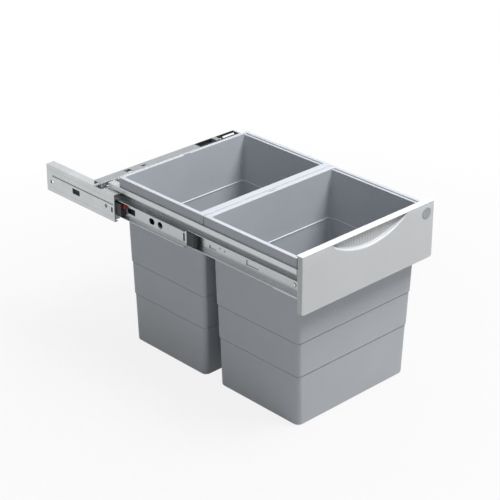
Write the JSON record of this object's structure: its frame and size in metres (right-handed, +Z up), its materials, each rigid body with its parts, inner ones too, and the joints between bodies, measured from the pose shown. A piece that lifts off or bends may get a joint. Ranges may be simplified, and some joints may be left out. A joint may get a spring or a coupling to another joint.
{
  "type": "pull out waste bin unit",
  "caption": "Pull out waste unit for a kitchen cabinet: a front panel with a scooped grip and a frame holding stepped bins, carried on telescopic slides with wall brackets and a soft-close bar.",
  "frame": {"origin": "on the outer face of the left wall bracket, 65 mm behind its front end and 33.5 mm below its top edge", "axes": "+Y from the front panel to the rear, +X from the left wall bracket to the right one, +Z up"},
  "size_m": [0.362, 0.6784, 0.3546],
  "materials": {
    "panel_plastic": "light grey moulded plastic, satin",
    "cap_plastic": "mid grey plastic, blank",
    "bin_plastic": "mid grey moulded plastic, fine matte grain",
    "frame_steel": "zinc plated sheet steel, satin",
    "bar_steel": "zinc plated sheet steel, slightly darker",
    "slide_steel": "cold rolled, zinc plated steel",
    "cage_steel": "thin bright steel with steel balls",
    "dark_plastic": "black moulded plastic",
    "tab_plastic": "red moulded plastic",
    "catch_plastic": "grey green moulded plastic",
    "rod_plastic": "white moulded plastic",
    "screw_steel": "bright zinc plated"
  },
  "bodies": {
    "left_cabinet_rail": {"wall_bracket_left": "frame_steel", "cabinet_rail_left": "slide_steel", "end_stop_left": "dark_plastic"},
    "left_release_tab": {"release_tab_left": "tab_plastic"},
    "left_outer_cage": {"outer_ball_cage_left": "cage_steel"},
    "left_intermediate_rail": {"intermediate_rail_left": "slide_steel", "rail_bumper_left": "dark_plastic"},
    "left_inner_cage": {"inner_ball_cage_left": "cage_steel"},
    "drawer": {"front_panel": "panel_plastic", "panel_cap": "cap_plastic", "frame_front_rail": "frame_steel", "frame_middle_rail": "frame_steel", "frame_rear_rail": "frame_steel", "frame_side_rail_left": "frame_steel", "frame_side_rail_right": "frame_steel", "drawer_rail_left": "slide_steel", "drawer_rail_right": "slide_steel", "panel_bracket_left": "frame_steel", "panel_bracket_right": "frame_steel", "bar_bracket_left": "frame_steel", "bar_bracket_right": "frame_steel", "rear_bar": "bar_steel", "damper_tray": "dark_plastic", "damper_cylinder": "slide_steel", "rail_screw_front_left": "screw_steel", "rail_screw_front_right": "screw_steel", "rail_screw_rear_left": "screw_steel", "rail_screw_rear_right": "screw_steel", "bracket_rivet_left": "screw_steel", "bracket_rivet_right": "screw_steel", "bar_rivet_left": "screw_steel", "bar_rivet_right": "screw_steel", "panel_screw_1_left": "screw_steel", "panel_screw_1_right": "screw_steel", "panel_screw_2_left": "screw_steel", "panel_screw_2_right": "screw_steel"},
    "front_bin": {"front_bin": "bin_plastic"},
    "rear_bin": {"rear_bin": "bin_plastic"},
    "catch": {"damper_rod": "rod_plastic", "catch_slider": "catch_plastic"},
    "right_cabinet_rail": {"wall_bracket_right": "frame_steel", "cabinet_rail_right": "slide_steel", "end_stop_right": "dark_plastic"},
    "right_release_tab": {"release_tab_right": "tab_plastic"},
    "right_outer_cage": {"outer_ball_cage_right": "cage_steel"},
    "right_intermediate_rail": {"intermediate_rail_right": "slide_steel", "rail_bumper_right": "dark_plastic"},
    "right_inner_cage": {"inner_ball_cage_right": "cage_steel"}
  },
  "joints": [
    {"name": "drawer_slide", "type": "slide", "parent": "left_cabinet_rail", "child": "drawer", "axis": [0, 1, 0], "range_m": [0, 0.448]},
    {"name": "left_outer_cage_roll", "type": "slide", "parent": "left_cabinet_rail", "child": "left_outer_cage", "axis": [0, 1, 0], "range_m": [0, 0.112]},
    {"name": "left_intermediate_slide", "type": "slide", "parent": "left_cabinet_rail", "child": "left_intermediate_rail", "axis": [0, 1, 0], "range_m": [0, 0.224]},
    {"name": "left_inner_cage_roll", "type": "slide", "parent": "left_cabinet_rail", "child": "left_inner_cage", "axis": [0, 1, 0], "range_m": [0, 0.336]},
    {"name": "left_release_tab_press", "type": "slide", "parent": "left_cabinet_rail", "child": "left_release_tab", "axis": [0, 1, 0], "range_m": [0, 0.003], "stiffness_N_per_m": 400},
    {"name": "front_bin_lift", "type": "slide", "parent": "drawer", "child": "front_bin", "axis": [0, 0, 1], "range_m": [0, 0.35]},
    {"name": "rear_bin_lift", "type": "slide", "parent": "drawer", "child": "rear_bin", "axis": [0, 0, 1], "range_m": [0, 0.35]},
    {"name": "catch_slide", "type": "slide", "parent": "drawer", "child": "catch", "axis": [-1, 0, 0], "range_m": [0, 0.02]},
    {"name": "right_rail_slide", "type": "slide", "parent": "drawer", "child": "right_cabinet_rail", "axis": [0, 1, 0], "range_m": [0, 0.448]},
    {"name": "right_outer_cage_roll", "type": "slide", "parent": "drawer", "child": "right_outer_cage", "axis": [0, 1, 0], "range_m": [0, 0.336]},
    {"name": "right_intermediate_slide", "type": "slide", "parent": "drawer", "child": "right_intermediate_rail", "axis": [0, 1, 0], "range_m": [0, 0.224]},
    {"name": "right_inner_cage_roll", "type": "slide", "parent": "drawer", "child": "right_inner_cage", "axis": [0, 1, 0], "range_m": [0, 0.112]},
    {"name": "right_release_tab_press", "type": "slide", "parent": "right_cabinet_rail", "child": "right_release_tab", "axis": [0, 1, 0], "range_m": [0, 0.003], "stiffness_N_per_m": 400}
  ],
  "couplings": [
    {"joint": "left_outer_cage_roll", "follows": "drawer_slide", "ratio": 0.25},
    {"joint": "left_intermediate_slide", "follows": "drawer_slide", "ratio": 0.5},
    {"joint": "left_inner_cage_roll", "follows": "drawer_slide", "ratio": 0.75},
    {"joint": "right_outer_cage_roll", "follows": "right_rail_slide", "ratio": 0.75},
    {"joint": "right_intermediate_slide", "follows": "right_rail_slide", "ratio": 0.5},
    {"joint": "right_inner_cage_roll", "follows": "right_rail_slide", "ratio": 0.25}
  ]
}
